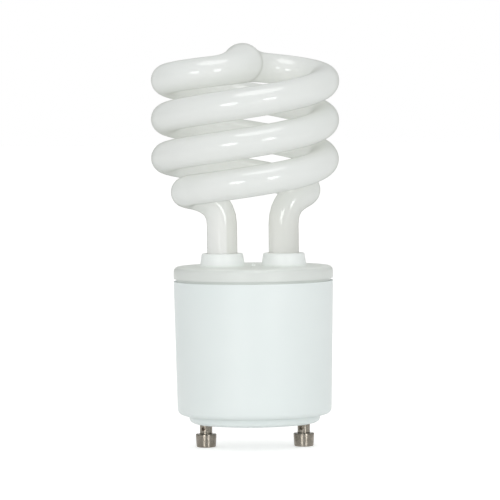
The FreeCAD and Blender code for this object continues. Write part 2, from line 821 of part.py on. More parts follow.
def make_choke():
    """The ballast choke: two E-shaped ferrite halves closed round a bobbin with its winding."""
    x, y = S.choke_x, S.choke_y
    top = BOARD_LOW_Z - S.choke_bobbin_wall
    low = top - S.choke_height
    middle = top - S.choke_height / 2
    yoke = S.choke_yoke
    outer_leg = S.choke_outer_leg
    made = []
    for half, base in (("upper", top - yoke), ("lower", low)):
        leg_low = middle if half == "upper" else low
        parts = [block(f"choke_{half}_yoke", S.choke_width, S.choke_depth, yoke, x, y, base)]
        for name, width, shift in (
            ("left_leg", outer_leg, (outer_leg - S.choke_width) / 2),
            ("centre_leg", S.choke_leg, Size(0)),
            ("right_leg", outer_leg, (S.choke_width - outer_leg) / 2),
        ):
            parts.append(block(
                f"choke_{half}_{name}", width, S.choke_depth, S.choke_height / 2, x + shift, y, leg_low,
            ))
        made.append(fuse(f"choke_core_{half}", parts))
    wall = S.choke_bobbin_wall
    window = S.choke_height - 2 * yoke
    bore_x, bore_y = S.choke_leg, S.choke_depth
    flange_x = S.choke_width - 2 * outer_leg
    flange_y = S.choke_winding_width + wall
    foot_y = (flange_y - wall) / 2
    foot_height = yoke + 2 * wall
    spool = [
        block("bobbin_tube", bore_x + 2 * wall, bore_y + 2 * wall, window, x, y, low + yoke),
        block("bobbin_low_flange", flange_x, flange_y, wall, x, y, low + yoke),
        block("bobbin_top_flange", flange_x, flange_y, wall, x, y, top - yoke - wall),
        block("bobbin_front_foot", flange_x, wall, foot_height, x, y - foot_y, top - yoke - wall),
        block("bobbin_back_foot", flange_x, wall, foot_height, x, y + foot_y, top - yoke - wall),
    ]
    bobbin = cut("choke_bobbin", fuse("bobbin_spool", spool), [
        block("bobbin_bore", bore_x, bore_y, window, x, y, low + yoke),
    ])
    turns_height = window - 2 * wall
    winding = cut("choke_winding", block(
        "winding_outside", flange_x - wall, S.choke_winding_width, turns_height, x, y, low + yoke + wall,
    ), [block(
        "winding_inside", bore_x + 2 * wall, bore_y + 2 * wall, turns_height, x, y, low + yoke + wall,
    )])
    return made + [bobbin, winding]


def make_drive_transformer():
    """The small ring core that drives the transistors, with its three short windings."""
    x, y = S.toroid_x, S.toroid_y
    wire = S.toroid_wire_dia
    low = BOARD_LOW_Z - S.toroid_height - wire
    core = cut("drive_transformer_core", cylinder(
        "toroid_outside", S.toroid_dia, S.toroid_height, (x, y, low),
    ), [cylinder("toroid_inside", S.toroid_bore, S.toroid_height, (x, y, low))])
    windings = []
    for number in range(3):
        wrap = spoke(
            f"toroid_wrap_{number + 1}", S.toroid_bore / 2 - wire, S.toroid_dia / 2 + wire,
            S.toroid_winding_width, S.toroid_height + 2 * wire, (x, y), 120 * number, low - wire,
        )
        windings.append(cut(f"toroid_winding_{number + 1}", wrap, [core]))
    return [core, group("drive_transformer_windings", windings)]


def make_transistor(name, x):
    """A power transistor standing off the board on three legs."""
    y = S.transistor_y
    legs_low = BOARD_LOW_Z - S.transistor_leg_length
    low = legs_low - S.transistor_height
    thick = S.transistor_thickness
    parts = [block(f"{name}_body", thick, S.transistor_width, S.transistor_height, x, y, low)]
    for number in (-1, 0, 1):
        parts.append(block(
            f"{name}_leg_{number + 2}", S.transistor_leg_thickness, S.component_lead_side,
            S.transistor_leg_length, x, y + number * S.transistor_leg_pitch, legs_low,
        ))
    hole = cylinder(
        f"{name}_hole", S.transistor_hole_dia, thick,
        (x - thick / 2, y, low + S.transistor_hole_height), "X",
    )
    return cut(name, fuse(f"{name}_solid", parts), [hole])


def make_film_capacitor(name, length, thickness, height, x, y):
    """A boxed film capacitor with softened upright edges, hanging from the board."""
    box = block(f"{name}_box", length, thickness, height, x, y, BOARD_LOW_Z - height)
    doc.recompute()
    upright = [
        number for number, edge in enumerate(box.Shape.Edges, start=1)
        if abs(edge.tangentAt(edge.FirstParameter).z) > 0.99
    ]
    soft = doc.addObject("Part::Fillet", name)
    soft.Base = box
    soft.Edges = [(number, S.film_cap_edge.value, S.film_cap_edge.value) for number in upright]
    return soft


def make_filter_choke():
    """The mains filter choke: a ferrite drum with its winding."""
    x, y = S.drum_x, S.drum_y
    low = BOARD_LOW_Z - S.drum_height
    core = turned_body("filter_choke_core", [
        (0, low),
        (S.drum_dia / 2, low),
        (S.drum_dia / 2, low + S.drum_flange),
        (S.drum_core_dia / 2, low + S.drum_flange),
        (S.drum_core_dia / 2, BOARD_LOW_Z - S.drum_flange),
        (S.drum_dia / 2, BOARD_LOW_Z - S.drum_flange),
        (S.drum_dia / 2, BOARD_LOW_Z),
        (0, BOARD_LOW_Z),
    ])
    place(core, (x, y, 0))
    turns = S.drum_height - 2 * S.drum_flange
    winding = cut("filter_choke_winding", cylinder(
        "drum_turns_outside", S.drum_winding_dia, turns, (x, y, low + S.drum_flange),
    ), [cylinder("drum_turns_inside", S.drum_core_dia, turns, (x, y, low + S.drum_flange))])
    return [core, winding]


def make_fuse():
    """The fusible resistor, standing on end."""
    side = S.component_lead_side
    top = BOARD_LOW_Z - S.component_lift
    body = cylinder("fuse_body", S.fuse_dia, S.fuse_length, (S.fuse_x, S.fuse_y, top - S.fuse_length))
    lead = block("fuse_lead", side, side, S.component_lift, S.fuse_x, S.fuse_y, top)
    return fuse("fuse_resistor", [body, lead])


def axial_part(name, dia, length, y):
    """A small part lying along X on the board's upper side, on its two bent leads."""
    side = S.component_lead_side
    height = BOARD_TOP_Z + S.component_lift + dia / 2
    reach = length / 2 + S.lead_reach
    body = cylinder(f"{name}_body", dia, length, (-(length / 2), y, height), "X")
    bar = block(f"{name}_bar", 2 * reach, side, side, 0, y, height - side / 2)
    foot_x = reach - side / 2
    feet = [
        block(f"{name}_{end}_foot", side, side, height - BOARD_TOP_Z, sign * foot_x, y, BOARD_TOP_Z)
        for end, sign in SIDES.items()
    ]
    return fuse(name, [body, bar] + feet)


def axial_rows(name, dia, length, row, pitch):
    """Four like axial parts as one piece of the list, two rows on each side of the board's middle."""
    return group(name, [
        axial_part(f"{name}_{2 * step + number}", dia, length, sign * (row + step * pitch))
        for step in (0, 1)
        for number, sign in enumerate(SIDES.values(), start=1)
    ])


def make_mains_wire(side, sign, x, y):
    """An insulated wire from a pin's solder stub up to the board, with two gentle bends."""
    low = (PAD_TOP_Z + S.pin_rivet_thickness + S.pin_stub_length).value
    start = Vector(sign * PIN_X.value, 0, low)
    end = Vector(x.value, y.value, BOARD_LOW_Z.value)
    bend_low = start + Vector(0, 0, S.mains_wire_straight.value)
    bend_top = Vector(end.x, end.y, low + S.mains_wire_bend_height.value)
    up = Vector(0, 0, 1)
    edges = smooth_path([(start, up), (bend_low, up), (bend_top, up), (end, up)])
    return sweep(f"mains_wire_{side}", edges, S.mains_wire_dia)


def make_pieces():
    """Every sub-part of the lamp, in the order of its assembly."""
    pieces = [make_housing(), make_lid(), make_tube(), make_board(), make_posts()]
    for side, sign in SIDES.items():
        pieces += [make_pin(side, sign), make_cement(side, sign), make_leads(side, sign)]
    pieces.append(make_bulk_capacitor())
    pieces += make_choke()
    pieces += make_drive_transformer()
    pieces.append(make_transistor("transistor_high_side", S.high_side_x))
    pieces.append(make_transistor("transistor_low_side", S.low_side_x))
    pieces.append(make_film_capacitor(
        "resonant_capacitor", S.resonant_cap_length, S.resonant_cap_thickness, S.resonant_cap_height,
        S.resonant_cap_x, S.resonant_cap_y,
    ))
    pieces.append(make_film_capacitor(
        "dc_block_capacitor", S.block_cap_length, S.block_cap_thickness, S.block_cap_height,
        S.block_cap_x, S.block_cap_y,
    ))
    pieces += make_filter_choke()
    pieces.append(make_fuse())
    pieces.append(axial_rows(
        "rectifier_diodes", S.diode_dia, S.diode_length, S.diode_row, S.diode_row_pitch,
    ))
    pieces.append(axial_rows(
        "signal_resistors", S.resistor_dia, S.resistor_length, S.resistor_row, S.resistor_row_pitch,
    ))
    pieces.append(axial_part("trigger_diac", S.diac_dia, S.diac_length, Size(0)))
    pieces.append(make_mains_wire("left", -1, S.left_wire_x, S.left_wire_y))
    pieces.append(make_mains_wire("right", 1, S.right_wire_x, S.right_wire_y))
    return pieces


def check_and_write(pieces):
    """Stop at any failed object, then write each sub-part to its own file."""
    doc.recompute()
    for thing in doc.Objects:
        if "Invalid" in thing.State or "Error" in thing.State:
            raise RuntimeError(f"{thing.Name} failed: {thing.State}")
    os.makedirs("parts", exist_ok=True)
    for piece in pieces:
        shape = piece.Shape
        if shape.isNull() or not shape.isValid():
            raise RuntimeError(f"{piece.Label} has no valid shape")
        print(f"{piece.Label}: {len(shape.Solids)} solid(s), {shape.Volume:.1f} mm3")
        shape.exportStep(f"parts/{piece.Label}.step")


check_and_write(make_pieces())
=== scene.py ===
"""Spiral compact fluorescent lamp, dressed and lit as a product shot.

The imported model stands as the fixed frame: its moulded, turned and sintered solids keep their own
shape and take their finishes here. The blown glass is modelled anew along the same centreline, so
that its skin is smooth enough to carry sharp reflections.
"""

import logging
import math
from dataclasses import dataclass, field
from enum import Enum
from typing import Callable

import bmesh
import bpy
from mathutils import Matrix, Quaternion, Vector


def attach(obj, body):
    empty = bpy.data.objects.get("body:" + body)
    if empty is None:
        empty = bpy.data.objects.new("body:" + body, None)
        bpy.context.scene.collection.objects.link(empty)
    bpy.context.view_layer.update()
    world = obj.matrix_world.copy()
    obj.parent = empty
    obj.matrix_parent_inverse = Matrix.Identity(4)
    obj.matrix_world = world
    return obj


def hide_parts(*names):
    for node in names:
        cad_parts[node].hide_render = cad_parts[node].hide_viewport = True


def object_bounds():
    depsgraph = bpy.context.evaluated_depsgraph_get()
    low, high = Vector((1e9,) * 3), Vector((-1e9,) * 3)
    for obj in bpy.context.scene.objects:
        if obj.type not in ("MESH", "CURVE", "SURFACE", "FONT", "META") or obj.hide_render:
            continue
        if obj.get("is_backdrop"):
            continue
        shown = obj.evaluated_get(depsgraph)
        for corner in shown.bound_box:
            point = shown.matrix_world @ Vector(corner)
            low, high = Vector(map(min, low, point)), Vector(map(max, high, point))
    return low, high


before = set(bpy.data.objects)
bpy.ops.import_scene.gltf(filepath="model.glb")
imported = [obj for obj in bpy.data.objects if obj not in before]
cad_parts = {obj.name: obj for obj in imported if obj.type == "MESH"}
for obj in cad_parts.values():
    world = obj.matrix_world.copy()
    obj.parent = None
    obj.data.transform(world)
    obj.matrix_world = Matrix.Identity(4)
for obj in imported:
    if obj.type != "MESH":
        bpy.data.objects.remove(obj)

LOG = logging.getLogger("spiral_lamp")
MM = 0.001
# at a scale of 1, a wave texture's bands repeat at this spacing
WAVE_SPACING = math.pi / 10
# rising places along an axis, each with its colour there
Stops = tuple[tuple[float, str], ...]


def linear(hex_colour: str) -> tuple[float, float, float, float]:
    """Turn an sRGB hex colour into the linear colour a shader works in.

    Args:
        hex_colour: Six hex digits after a hash, as "#E8F1F0".

    Returns:
        Red, green, blue and an alpha of 1.
    """
    parts = [int(hex_colour[i : i + 2], 16) / 255 for i in (1, 3, 5)]
    curve = [p / 12.92 if p <= 0.04045 else ((p + 0.055) / 1.055) ** 2.4 for p in parts]
    return curve[0], curve[1], curve[2], 1.0


def add_node(
    tree: bpy.types.NodeTree, kind: str, inputs: dict[int | str, object] | None = None, **settings: object,
) -> bpy.types.Node:
    """Add one node to a tree, with its settings and what its inputs get.

    Args:
        tree: The node tree that gets the node.
        kind: The node's type, as "ShaderNodeTexNoise".
        inputs: Input name or number to the output socket that feeds it, or to its constant.
        settings: Attribute names, or input names with spaces as underscores, to their values.

    Returns:
        The new node.
    """
    node = tree.nodes.new(kind)
    for name, value in settings.items():
        socket = name.replace("_", " ")
        found = next((s for s in node.inputs if s.name.lower() == socket.lower()), None)
        if found is not None and not hasattr(node, name):
            found.default_value = value
        else:
            setattr(node, name, value)
    for name, source in (inputs or {}).items():
        if isinstance(source, bpy.types.NodeSocket):
            tree.links.new(source, node.inputs[name])
        else:
            node.inputs[name].default_value = source
    return node


def shade_along(
    tree: bpy.types.NodeTree, at: bpy.types.NodeSocket, axis: str, stops: Stops, unit: float,
) -> bpy.types.NodeSocket:
    """Shade by the place along one axis.

    Args:
        tree: The tree that gets the nodes.
        at: The coordinates.
        axis: "X", "Y" or "Z".
        stops: The places along the axis, with their colours.
        unit: The length of one unit of the places, in the coordinates' own unit.

    Returns:
        A colour socket.
    """
    low, high = stops[0][0], stops[-1][0]
    along = add_node(tree, "ShaderNodeSeparateXYZ", {0: at}).outputs[axis]
    share = add_node(
        tree, "ShaderNodeMapRange", {"Value": along}, From_Min=low * unit, From_Max=high * unit,
    )
    grade = add_node(tree, "ShaderNodeValToRGB", {"Fac": share.outputs[0]})
    marks = grade.color_ramp.elements
    marks[0].color, marks[1].color = linear(stops[0][1]), linear(stops[-1][1])
    for place, shade in stops[1:-1]:
        marks.new((place - low) / (high - low)).color = linear(shade)
    return grade.outputs["Color"]


class Skin(Enum):
    """The two ways a finish can break up its surface."""

    GRAIN = "grain"
    RINGS = "rings"


@dataclass(frozen=True)
class Finish:
    """A procedural finish: two close shades mixed by a pattern of real size, with a matching relief.

    Attributes:
        name: What the material really is.
        shade: Its colour.
        second_shade: The close colour that patches of it have.
        patch_mm: How wide such a patch is.
        grain_mm: How wide a grain is, or how far apart the rings are.
        relief_mm: How high the grain or the rings stand.
        roughness: The middle of its roughness.
        roughness_spread: How far the grain moves the roughness either way.
        metallic: 1 for bare metal.
        skin: What breaks up the surface.
        patch_span: The part of the patch noise over which the first shade turns into the second.
    """

    name: str
    shade: str
    second_shade: str
    patch_mm: float
    grain_mm: float
    relief_mm: float
    roughness: float
    roughness_spread: float = 0.05
    metallic: float = 0.0
    skin: Skin = Skin.GRAIN
    patch_span: tuple[float, float] = (0.3, 0.7)

    def texture(self, tree: bpy.types.NodeTree, at: bpy.types.NodeSocket, size_mm: float) -> bpy.types.Node:
        """Add the pattern of the finish at a real size.

        Args:
            tree: The material's tree.
            at: The object coordinates.
            size_mm: The spacing of the pattern in millimetres.

        Returns:
            The texture node.
        """
        if self.skin is Skin.RINGS:
            return add_node(
                tree, "ShaderNodeTexWave", {"Vector": at}, wave_type="BANDS", bands_direction="Z",
                Scale=WAVE_SPACING / (size_mm * MM), Distortion=1.5, Detail=2.0,
            )
        return add_node(tree, "ShaderNodeTexNoise", {"Vector": at}, Scale=1 / (size_mm * MM), Detail=3.0)

    def build(self) -> bpy.types.Material:
        """Build the material.

        Returns:
            The finished material.
        """
        material = bpy.data.materials.new(self.name)
        material.use_nodes = True
        tree = material.node_tree
        shader = tree.nodes["Principled BSDF"]
        shader.inputs["Metallic"].default_value = self.metallic
        at = add_node(tree, "ShaderNodeTexCoord").outputs["Object"]
        patch = add_node(
            tree, "ShaderNodeTexNoise", {"Vector": at}, Scale=1 / (self.patch_mm * MM), Detail=4.0,
        )
        grain = self.texture(tree, at, self.grain_mm)
        colour = add_node(tree, "ShaderNodeValToRGB", {"Fac": patch.outputs[0]})
        shades = (self.shade, self.second_shade)
        for mark, place, shade in zip(colour.color_ramp.elements, self.patch_span, shades):
            mark.position = place
            mark.color = linear(shade)
        gloss = add_node(
            tree, "ShaderNodeMapRange", {"Value": grain.outputs[0]},
            To_Min=self.roughness - self.roughness_spread, To_Max=self.roughness + self.roughness_spread,
        )
        bump = add_node(
            tree, "ShaderNodeBump", {"Height": grain.outputs[0]}, Distance=self.relief_mm * MM, Strength=1.0,
        )
        tree.links.new(colour.outputs["Color"], shader.inputs["Base Color"])
        tree.links.new(gloss.outputs[0], shader.inputs["Roughness"])
        tree.links.new(bump.outputs["Normal"], shader.inputs["Normal"])
        self.extend(tree, shader, at)
        return material

    def extend(self, tree: bpy.types.NodeTree, shader: bpy.types.Node, at: bpy.types.NodeSocket) -> None:
        """Add a finish's further layers, of which a plain finish has none.

        Args:
            tree: The material's tree.
            shader: Its principled shader.
            at: The object coordinates.
        """


@dataclass(frozen=True)
class PhosphorGlass(Finish):
    """Soda-lime tube, clear outside and powder coated inside: white depth under a wet, sharp gloss."""

    # fitted to the photograph: painted light and shade, each leg painted lighter on its left side and darker
    # on its right
    leg_painted_light_and_shade: Stops = (
        (-11.5, "#F8FAFA"), (-6.65, "#FCFDFD"), (-6.2, "#EAECE8"), (0.0, "#F8F9F8"), (5.0, "#F5F6F4"),
        (7.5, "#E9EBE8"), (11.5, "#DFE0DD"),
    )
    leg_top_mm: float = 46.9
    coil_foot_mm: float = 57.9
    # seen edge-on, the wall is several times as thick and shows as a thin darker rim, partly that tint and
    # partly painted shade at the outline; its shade and depth are fitted to the photograph, deeper on the
    # legs than on the coil
    rim_tint_and_painted_shade: str = "#8E938C"
    rim_span: tuple[float, float] = (0.66, 1.0)
    rim_depth: tuple[float, float] = (1.0, 0.42)
    # the powder lets light into the tube and out again, which lifts the sides turned away from the lamps,
    # and most of the light goes on to what stands behind a tube; both shares are fitted to the photograph
    let_through: float = 0.3
    pass_on: float = 0.7
    inner_shade: str = "#F8F8F4"
    # the drawn glass is never quite true, so the reflections of its hard skin wander by a hair
    wander_mm: float = 9.0
    wander_relief_mm: float = 0.06
    gloss_roughness: float = 0.03
    glass_ior: float = 1.52
    # a cap on the mirror at grazing angles, without which the outline looks bitten from behind
    gloss_limit: float = 0.06

    def powder(
        self, tree: bpy.types.NodeTree, coil: bpy.types.NodeSocket, at: bpy.types.NodeSocket,
    ) -> bpy.types.NodeSocket:
        """Shade the powder: painted light and shade across the legs, evenly on the coil, and a darker rim at
        the outline.

        Args:
            tree: The material's tree.
            coil: The coil's colour.
            at: The object coordinates.

        Returns:
            A colour socket.
        """
        height = add_node(tree, "ShaderNodeSeparateXYZ", {0: at}).outputs["Z"]
        share = add_node(
            tree, "ShaderNodeMapRange", {"Value": height}, interpolation_type="SMOOTHSTEP",
            From_Min=self.leg_top_mm * MM, From_Max=self.coil_foot_mm * MM,
        ).outputs[0]
        # painted light and shade across the legs: lighter on each leg's left side, darker on its right
        painted_legs = shade_along(tree, at, "X", self.leg_painted_light_and_shade, MM)
        body = add_node(tree, "ShaderNodeMix", {0: share, 6: painted_legs, 7: coil}, data_type="RGBA").outputs[2]
        # darker rim by viewing angle: partly the wall's own tint edge-on, partly painted shade at the outline
        edge = add_node(tree, "ShaderNodeLayerWeight", Blend=0.5).outputs["Facing"]
        depth = add_node(
            tree, "ShaderNodeMapRange", {"Value": share}, To_Min=self.rim_depth[0], To_Max=self.rim_depth[1],
        ).outputs[0]
        thick = add_node(
            tree, "ShaderNodeMapRange", {"Value": edge, "To Max": depth}, interpolation_type="SMOOTHSTEP",
            From_Min=self.rim_span[0], From_Max=self.rim_span[1],
        ).outputs[0]
        rim = {0: thick, 6: body, 7: linear(self.rim_tint_and_painted_shade)}
        return add_node(tree, "ShaderNodeMix", rim, data_type="RGBA").outputs[2]

    def passing(self, tree: bpy.types.NodeTree) -> bpy.types.NodeSocket:
        """Tell how much of a ray goes straight on: a part of one that lights, nothing of one that sees.

        Args:
            tree: The material's tree.

        Returns:
            A socket with the share.
        """
        path = add_node(tree, "ShaderNodeLightPath").outputs
        either = {0: path["Is Shadow Ray"], 1: path["Is Diffuse Ray"]}
        lighting = add_node(tree, "ShaderNodeMath", either, operation="MAXIMUM").outputs[0]
        part = {0: lighting, 1: self.pass_on}
        return add_node(tree, "ShaderNodeMath", part, operation="MULTIPLY").outputs[0]

    def gloss(
        self, tree: bpy.types.NodeTree, at: bpy.types.NodeSocket,
    ) -> tuple[bpy.types.NodeSocket, bpy.types.NodeSocket]:
        """Make the hard clear skin.

        Args:
            tree: The material's tree.
            at: The object coordinates.

        Returns:
            The skin's mirror, and a socket with how much of it shows.
        """
        wander = add_node(
            tree, "ShaderNodeTexNoise", {"Vector": at}, Scale=1 / (self.wander_mm * MM), Detail=1.0,
        ).outputs[0]
        skin = add_node(
            tree, "ShaderNodeBump", {"Height": wander}, Distance=self.wander_relief_mm * MM, Strength=1.0,
        ).outputs["Normal"]
        mirror = add_node(tree, "ShaderNodeBsdfGlossy", {"Normal": skin}, Roughness=self.gloss_roughness)
        grazing = add_node(tree, "ShaderNodeFresnel", {"Normal": skin}, IOR=self.glass_ior).outputs[0]
        held = add_node(tree, "ShaderNodeMath", {0: grazing, 1: self.gloss_limit}, operation="MINIMUM")
        return mirror.outputs[0], held.outputs[0]

    def extend(self, tree: bpy.types.NodeTree, shader: bpy.types.Node, at: bpy.types.NodeSocket) -> None:
        """Lay the shaded, translucent powder under the clear skin.

        Args:
            tree: The material's tree.
            shader: Its principled shader.
            at: The object coordinates.
        """
        shader.inputs["Specular IOR Level"].default_value = 0.0
        coil = shader.inputs["Base Color"].links[0].from_socket
        tree.links.new(self.powder(tree, coil, at), shader.inputs["Base Color"])
        inner = linear(self.inner_shade)
        through = add_node(tree, "ShaderNodeBsdfTranslucent", Color=inner).outputs[0]
        chalk = add_node(
            tree, "ShaderNodeMixShader", {0: self.let_through, 1: shader.outputs[0], 2: through},
        ).outputs[0]
        mirror, held = self.gloss(tree, at)
        tube = add_node(tree, "ShaderNodeMixShader", {0: held, 1: chalk, 2: mirror}).outputs[0]
        clear = add_node(tree, "ShaderNodeBsdfTransparent", Color=inner).outputs[0]
        veil = add_node(tree, "ShaderNodeMixShader", {0: self.passing(tree), 1: tube, 2: clear})
        tree.links.new(veil.outputs[0], tree.nodes["Material Output"].inputs["Surface"])


@dataclass(frozen=True)
class GradedPlastic(Finish):
    """Moulding whose shade changes with its height, fitted to the photograph: its own tone, with painted
    light on the upper bands.
    """

    shades: Stops = ((0.0, "#FFFFFF"), (1.0, "#FFFFFF"))

    def extend(self, tree: bpy.types.NodeTree, shader: bpy.types.Node, at: bpy.types.NodeSocket) -> None:
        """Tint the plastic by height: its own tone, with painted light on the upper bands.

        Args:
            tree: The material's tree.
            shader: Its principled shader.
            at: The object coordinates.
        """
        body = shader.inputs["Base Color"].links[0].from_socket
        # by height: the plastic's own tone, with painted light on the upper bands
        tint = shade_along(tree, at, "Z", self.shades, MM)
        both = add_node(
            tree, "ShaderNodeMix", {0: 1.0, 6: body, 7: tint}, data_type="RGBA", blend_type="MULTIPLY",
        )
        tree.links.new(both.outputs[2], shader.inputs["Base Color"])


@dataclass(frozen=True)
class PlatedMetal(Finish):
    """Nickel over brass: a ringed mirror, with a dark brown spot in the dimple."""

    pin_spacing_mm: float = 24.0
    # the dimple's place from its pin's axis where the boss ends, and how far the dark spot reaches round it
    dimple_mm: tuple[float, float, float] = (-0.66, -1.41, -1.5)
    dimple_reach_mm: tuple[float, float] = (0.35, 0.6)
    dimple_spot_shade: str = "#4A2E14"

    def extend(self, tree: bpy.types.NodeTree, shader: bpy.types.Node, at: bpy.types.NodeSocket) -> None:
        """Put a dark brown spot in the dimple of either pin.

        Args:
            tree: The material's tree.
            shader: Its principled shader.
            at: The object coordinates.
        """
        body = shader.inputs["Base Color"].links[0].from_socket
        # both pins are folded onto one axis, so that one place serves both dimples
        place = add_node(tree, "ShaderNodeSeparateXYZ", {0: at}).outputs
        half = self.pin_spacing_mm / 2 * MM
        shifted = add_node(tree, "ShaderNodeMath", {0: place["X"], 1: half}, operation="ADD")
        folded = add_node(
            tree, "ShaderNodeMath", {0: shifted.outputs[0], 1: half, 2: -half}, operation="WRAP",
        )
        local = add_node(
            tree, "ShaderNodeCombineXYZ", {0: folded.outputs[0], 1: place["Y"], 2: place["Z"]},
        )
        dimple = [value * MM for value in self.dimple_mm]
        away = add_node(tree, "ShaderNodeVectorMath", {0: local.outputs[0], 1: dimple}, operation="DISTANCE")
        near, far = (value * MM for value in self.dimple_reach_mm)
        spot_share = add_node(
            tree, "ShaderNodeMapRange", {"Value": away.outputs["Value"]}, interpolation_type="SMOOTHSTEP",
            From_Min=near, From_Max=far, To_Min=1.0, To_Max=0.0,
        )
        # the dimple's dark brown spot
        spot_mix = {0: spot_share.outputs[0], 6: body, 7: linear(self.dimple_spot_shade)}
        metal = add_node(tree, "ShaderNodeMix", spot_mix, data_type="RGBA")
        tree.links.new(metal.outputs[2], shader.inputs["Base Color"])


# Drawn glass under white powder: a soft chalky body below a hard clear gloss.
PHOSPHOR_GLASS = PhosphorGlass(
    "phosphor_coated_glass", "#F5F8F8", "#F2F6F6", patch_mm=14, grain_mm=0.5, relief_mm=0.0004,
    roughness=0.8,
)
# Moulded PBT from a spark-eroded tool: fine even grain, cool white, a wide soft sheen.
HOUSING_PBT = Finish(
    "moulded_pbt_cool_white", "#E8EFEE", "#E5EDEC", patch_mm=18, grain_mm=0.35, relief_mm=0.006,
    roughness=0.42,
)
# The height of the lid's flat top: its skirt is below it, its sleeves above.
LID_FLAT_MM = 38.38
# The lid, as in the photograph: a shade warmer and greyer than the housing on its skirt; its flat top and
# sleeves are painted lighter, painted light on the same plastic.
LID_PBT = GradedPlastic(
    "moulded_pbt_warm_white", "#F6F9F8", "#F3F6F5", patch_mm=12, grain_mm=0.35, relief_mm=0.006,
    roughness=0.4,
    # the skirt keeps the lid's own grey; the flat top and the sleeves above it are painted light
    shades=(
        (30.0, "#E4E6E3"), (LID_FLAT_MM - 0.4, "#E4E6E3"), (LID_FLAT_MM - 0.05, "#FAFCF9"),
        (LID_FLAT_MM + 0.3, "#F8FAF8"), (LID_FLAT_MM + 0.8, "#FCFDFD"), (50.0, "#FCFDFD"),
    ),
)
# Turned brass under bright nickel: tool rings, drawn coarser than the real 0.05 mm, break up the mirror.
# Its colour is painted darker than bright nickel: a painted dim reflection of a dark room.
NICKEL_PLATE = PlatedMetal(
    "nickel_plated_brass", "#928C83", "#807A70", patch_mm=1.6, grain_mm=0.3, relief_mm=0.02, roughness=0.14,
    roughness_spread=0.05, metallic=1.0, skin=Skin.RINGS,
)
# Set capping cement: chalky, slightly yellow, pitted.
CAPPING_CEMENT = Finish(
    "set_capping_cement", "#E4E0D2", "#D6D1C0", patch_mm=2, grain_mm=0.3, relief_mm=0.05, roughness=0.85,
)
# Phenolic paper laminate: brown, faintly fibrous, dull.
PHENOLIC_BOARD = Finish(
    "phenolic_paper_laminate", "#B08A4A", "#9C7838", patch_mm=5, grain_mm=0.4, relief_mm=0.01, roughness=0.6,
)
# Hot-tinned copper and steel: pale grey metal with soft blotches of solder.
TINNED_WIRE = Finish(
    "hot_tinned_wire", "#C6C8CA", "#B4B7B9", patch_mm=1.2, grain_mm=0.2, relief_mm=0.01, roughness=0.35,
    metallic=1.0,
)
# Sintered manganese-zinc ferrite: near black, stony, with a ground sparkle.
SINTERED_FERRITE = Finish(
    "sintered_ferrite", "#3A3A3D", "#2C2C2F", patch_mm=1.5, grain_mm=0.12, relief_mm=0.02, roughness=0.55,
)
# Ferrite ring dipped in green lacquer: smooth, thick-edged coat.
COATED_FERRITE = Finish(
    "lacquered_ferrite_ring", "#3F6B4A", "#355C40", patch_mm=2, grain_mm=0.5, relief_mm=0.01, roughness=0.35,
)
# Enamelled copper wire laid in turns: the turns show as fine bright ridges.
ENAMELLED_COPPER = Finish(
    "enamelled_copper_winding", "#B4652F", "#9A4F22", patch_mm=3, grain_mm=0.3, relief_mm=0.08, roughness=0.3,
    metallic=0.9, skin=Skin.RINGS,
)
# PVC-covered hook-up wire: even colour, waxy sheen.
YELLOW_PVC = Finish(
    "yellow_pvc_insulation", "#D9B33A", "#CCA52F", patch_mm=4, grain_mm=0.4, relief_mm=0.004, roughness=0.4,
)
WHITE_PVC = Finish(
    "white_pvc_insulation", "#DDDDD8", "#D3D3CD", patch_mm=4, grain_mm=0.4, relief_mm=0.004, roughness=0.4,
)
BLACK_PVC = Finish(
    "black_pvc_insulation", "#2A2A2C", "#222224", patch_mm=4, grain_mm=0.4, relief_mm=0.004, roughness=0.4,
)
# Glass-filled nylon from a plain mould: dull black, faintly speckled.
BLACK_NYLON = Finish(
    "glass_filled_nylon", "#262627", "#1E1E1F", patch_mm=2, grain_mm=0.25, relief_mm=0.015, roughness=0.5,
)
# Transfer-moulded epoxy of semiconductors: matt charcoal, very fine tooth.
MOULDED_EPOXY = Finish(
    "moulded_epoxy", "#2B2B2E", "#232326", patch_mm=2, grain_mm=0.1, relief_mm=0.008, roughness=0.55,
)
# Shrink sleeve over an aluminium can: dark, tight and shiny.
CAN_SLEEVE = Finish(
    "shrunk_can_sleeve", "#232A3C", "#1C2231", patch_mm=5, grain_mm=0.8, relief_mm=0.01, roughness=0.3,
)
# Dipped polyester film capacitors: thick lacquer with rounded shine.
RED_DIP = Finish(
    "red_dipped_lacquer", "#B0432A", "#9C3822", patch_mm=3, grain_mm=0.8, relief_mm=0.03, roughness=0.28,
)
BLUE_CASE = Finish(
    "blue_moulded_case", "#3A5C94", "#315084", patch_mm=3, grain_mm=0.3, relief_mm=0.006, roughness=0.4,
)
# Lacquered ceramic rods of resistors: satin, slightly uneven coat.
GREEN_LACQUER = Finish(
    "green_ceramic_lacquer", "#5E8A76", "#507A67", patch_mm=2, grain_mm=0.4, relief_mm=0.02, roughness=0.45,
)
SAND_LACQUER = Finish(
    "sand_ceramic_lacquer", "#C9AE7C", "#BB9F6B", patch_mm=2, grain_mm=0.4, relief_mm=0.02, roughness=0.45,
)
# Sealed glass bead of the trigger diode: amber, clear and hard.
AMBER_GLASS = Finish(
    "sealed_amber_glass", "#8E4A2C", "#7E3F24", patch_mm=1.5, grain_mm=0.6, relief_mm=0.004, roughness=0.12,
)

